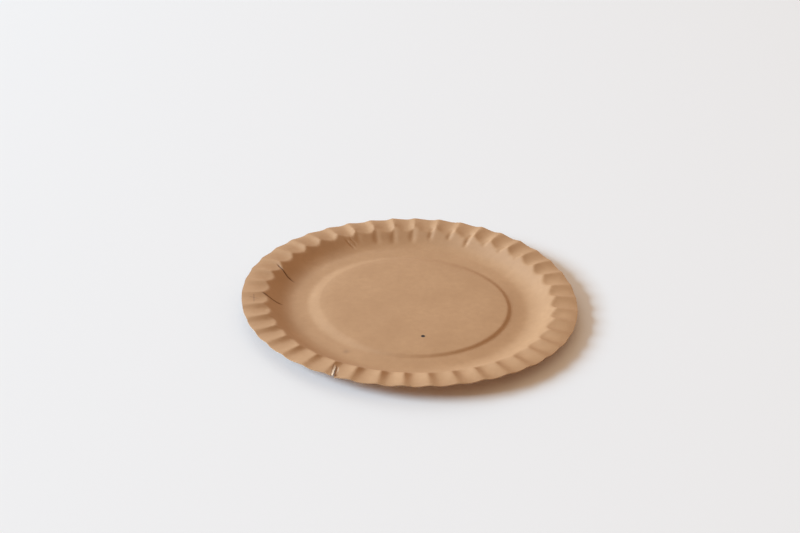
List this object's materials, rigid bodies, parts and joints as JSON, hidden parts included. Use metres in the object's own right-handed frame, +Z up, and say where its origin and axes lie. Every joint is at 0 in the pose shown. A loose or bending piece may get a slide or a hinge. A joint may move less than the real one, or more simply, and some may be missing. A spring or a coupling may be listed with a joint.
{
  "type": "paper plate",
  "caption": "Round disposable plate of pressed kraft board with a raised flat floor, a shallow well and a fluted rim that is torn at one place.",
  "frame": {"origin": "under the middle of the plate, on the surface that it rests on", "axes": "+Z up out of the well; the torn place on the rim lies at about 246 degrees counter-clockwise from +X"},
  "size_m": [0.18, 0.18, 0.0114],
  "materials": {
    "kraft_board": "uncoated pressed kraft paperboard, matt with a slight sheen"
  },
  "bodies": {
    "root": {"plate": "kraft_board"}
  },
  "joints": []
}
